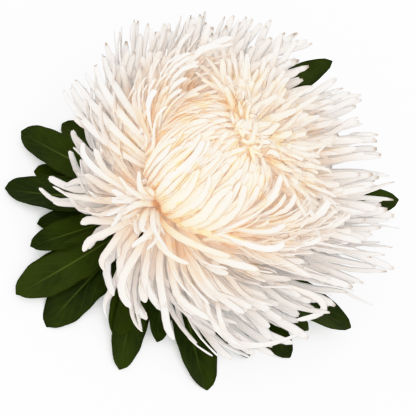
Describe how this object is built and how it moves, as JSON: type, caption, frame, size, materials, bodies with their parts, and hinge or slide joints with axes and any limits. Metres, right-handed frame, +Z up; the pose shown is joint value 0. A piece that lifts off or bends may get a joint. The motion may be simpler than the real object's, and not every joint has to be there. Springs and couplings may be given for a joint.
{
  "type": "dragon china aster bloom, picked",
  "caption": "Fully double white china aster bloom with long incurved ray florets, cut short and set down on its ruff of leafy bracts.",
  "frame": {"origin": "middle of the outer box in plan, on the surface that the lowest bracts rest on", "axes": "+Z up through the bloom's face, +X to the side where the florets reach furthest, +Y to the side that the crown leans back to"},
  "size_m": [0.125, 0.1376, 0.0635],
  "materials": {
    "white_floret": "soft matt with a faint sheen",
    "dark_leaf": "dull leaf sheen",
    "green_stalk": "matt, finely ribbed"
  },
  "bodies": {
    "root": {"ray_florets": "white_floret", "leafy_bracts": "dark_leaf", "cut_stalk": "green_stalk"}
  },
  "joints": []
}
